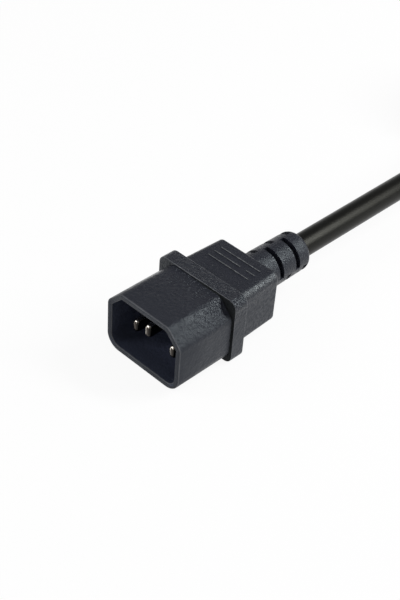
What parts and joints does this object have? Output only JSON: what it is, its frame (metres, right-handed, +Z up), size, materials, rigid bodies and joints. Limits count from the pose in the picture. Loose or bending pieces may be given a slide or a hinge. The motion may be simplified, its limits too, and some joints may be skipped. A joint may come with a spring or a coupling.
{
  "type": "power cable",
  "caption": "Short detachable power cord: hollow appliance plug with flat pins, round sheathed cord put away in a tied hank, and the mating socket connector.",
  "frame": {"origin": "on the floor under the middle of the plug, whose flange stands on it", "axes": "+Y from the plug's mouth to its cord, +Z up with the earth pin above the other pins, +X to the right when looking along +Y"},
  "size_m": [0.0555, 0.3065, 0.0316],
  "materials": {
    "shroud_plastic": "fine spark-eroded grain",
    "carrier_plastic": "smooth moulded, dull",
    "nickel_plate": "nickel plated, slightly dulled",
    "core_brown": "extruded",
    "core_blue": "extruded",
    "core_green_yellow": "extruded",
    "bare_copper": "drawn copper",
    "grip_moulding": "fine grain",
    "cord_jacket": "smooth satin extrusion",
    "tie_band": "woven hook-and-loop strap"
  },
  "bodies": {
    "root": {"shroud_flange": "shroud_plastic", "pin_carrier": "carrier_plastic", "pin_line": "nickel_plate", "pin_neutral": "nickel_plate", "pin_earth": "nickel_plate", "core_line": "core_brown", "core_neutral": "core_blue", "core_earth": "core_green_yellow", "conductor_line": "bare_copper", "conductor_neutral": "bare_copper", "conductor_earth": "bare_copper", "grip_overmould": "grip_moulding", "cord_lead": "cord_jacket", "cord_hank": "cord_jacket", "cord_tail": "cord_jacket", "cord_tie": "tie_band", "connector_insert": "carrier_plastic", "contact_line": "nickel_plate", "contact_neutral": "nickel_plate", "contact_earth": "nickel_plate", "connector_core_line": "core_brown", "connector_core_neutral": "core_blue", "connector_core_earth": "core_green_yellow", "connector_conductor_line": "bare_copper", "connector_conductor_neutral": "bare_copper", "connector_conductor_earth": "bare_copper", "connector_overmould": "grip_moulding"}
  },
  "joints": []
}
